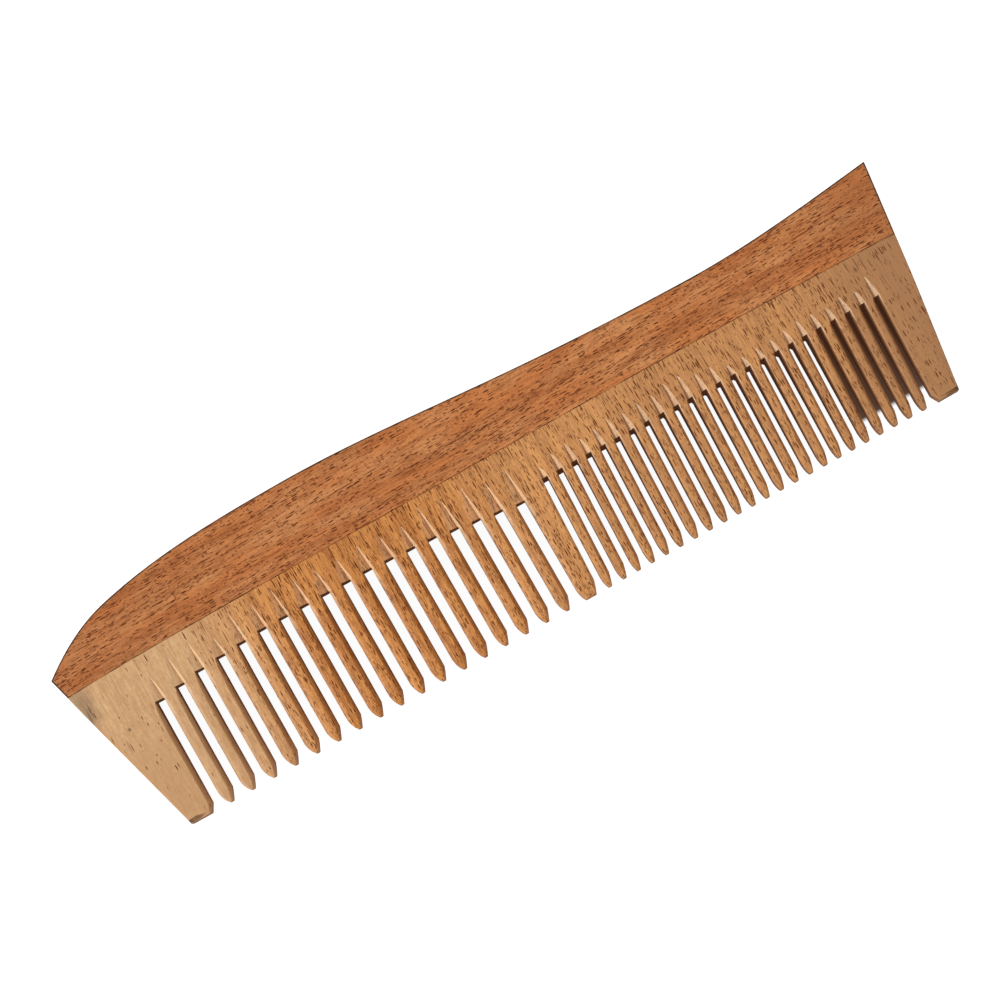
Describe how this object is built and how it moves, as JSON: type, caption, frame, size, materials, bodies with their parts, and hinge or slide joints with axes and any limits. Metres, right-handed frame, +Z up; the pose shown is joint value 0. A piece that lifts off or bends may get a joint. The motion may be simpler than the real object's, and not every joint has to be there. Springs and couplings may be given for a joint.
{
  "type": "wooden comb",
  "caption": "Flat wooden hair comb with a curved spine glued to a paler tooth plate that has a coarse and a fine set of teeth.",
  "frame": {"origin": "on the surface that the comb lies on, under the middle of its bounding box", "axes": "+X along the comb from the coarse teeth to the fine teeth, +Y from the tips of the teeth to the spine, +Z up from the back face to the front face"},
  "size_m": [0.19, 0.05, 0.0085],
  "materials": {
    "spine_wood": "sanded, open pores along the comb, satin",
    "plate_wood": "sanded, open pores along the teeth, satin"
  },
  "bodies": {
    "root": {"spine": "spine_wood", "plate_bar": "plate_wood", "left_guard": "plate_wood", "divider": "plate_wood", "right_guard": "plate_wood", "coarse_tooth_01": "plate_wood", "coarse_tooth_02": "plate_wood", "coarse_tooth_03": "plate_wood", "coarse_tooth_04": "plate_wood", "coarse_tooth_05": "plate_wood", "coarse_tooth_06": "plate_wood", "coarse_tooth_07": "plate_wood", "coarse_tooth_08": "plate_wood", "coarse_tooth_09": "plate_wood", "coarse_tooth_10": "plate_wood", "coarse_tooth_11": "plate_wood", "coarse_tooth_12": "plate_wood", "coarse_tooth_13": "plate_wood", "coarse_tooth_14": "plate_wood", "coarse_tooth_15": "plate_wood", "coarse_tooth_16": "plate_wood", "coarse_tooth_17": "plate_wood", "fine_tooth_01": "plate_wood", "fine_tooth_02": "plate_wood", "fine_tooth_03": "plate_wood", "fine_tooth_04": "plate_wood", "fine_tooth_05": "plate_wood", "fine_tooth_06": "plate_wood", "fine_tooth_07": "plate_wood", "fine_tooth_08": "plate_wood", "fine_tooth_09": "plate_wood", "fine_tooth_10": "plate_wood", "fine_tooth_11": "plate_wood", "fine_tooth_12": "plate_wood", "fine_tooth_13": "plate_wood", "fine_tooth_14": "plate_wood", "fine_tooth_15": "plate_wood", "fine_tooth_16": "plate_wood", "fine_tooth_17": "plate_wood", "fine_tooth_18": "plate_wood", "fine_tooth_19": "plate_wood", "fine_tooth_20": "plate_wood", "fine_tooth_21": "plate_wood", "fine_tooth_22": "plate_wood", "fine_tooth_23": "plate_wood"}
  },
  "joints": []
}
